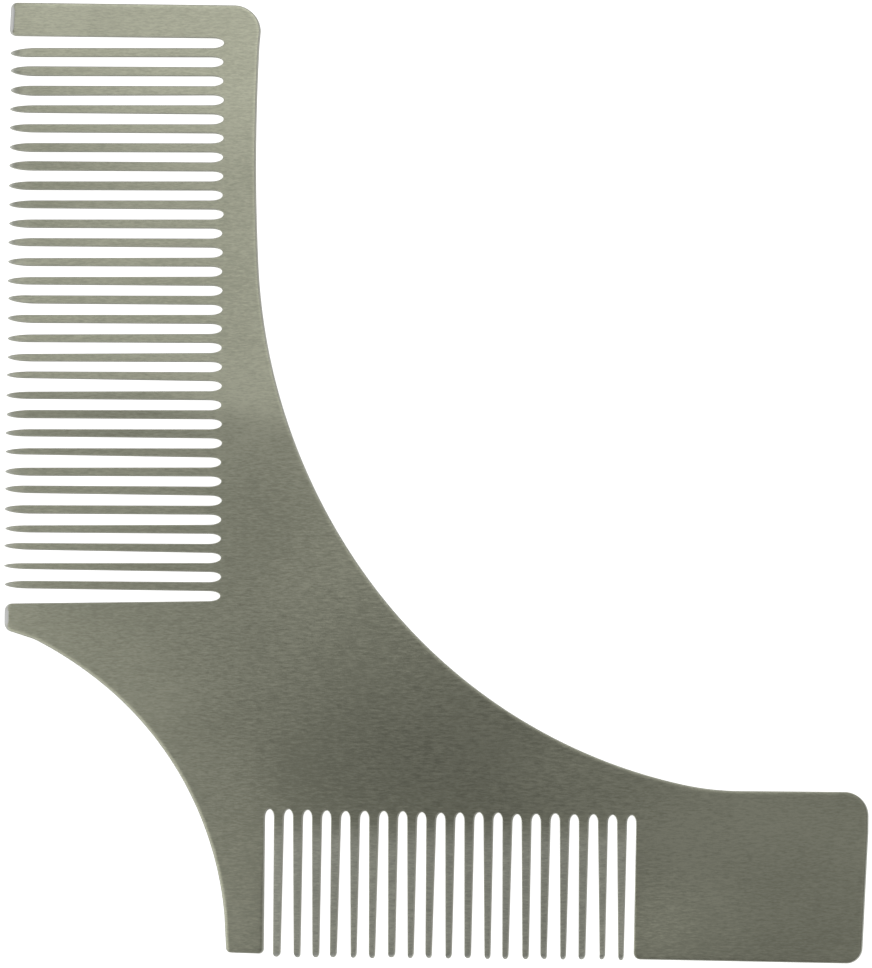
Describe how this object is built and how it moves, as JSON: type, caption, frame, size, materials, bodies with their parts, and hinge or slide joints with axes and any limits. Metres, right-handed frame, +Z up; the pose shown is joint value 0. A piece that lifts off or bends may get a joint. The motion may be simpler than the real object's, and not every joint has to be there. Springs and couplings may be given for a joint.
{
  "type": "beard shaping comb",
  "caption": "Flat L-shaped steel comb for shaping a beard, with a long and a short row of teeth, a large hollow jaw edge, a small hollow lip edge and a handle tab.",
  "frame": {"origin": "middle of the plate's overall width and height, on the face that it lies on", "axes": "+Z up, square to the plate; +Y along the long comb to the top bar; +X towards the handle tab"},
  "size_m": [0.1094, 0.12, 0.0012],
  "materials": {
    "brushed_steel": "fine brushed grain, deburred edges, tooth noses ground thinner"
  },
  "bodies": {
    "root": {"comb_plate": "brushed_steel"}
  },
  "joints": []
}
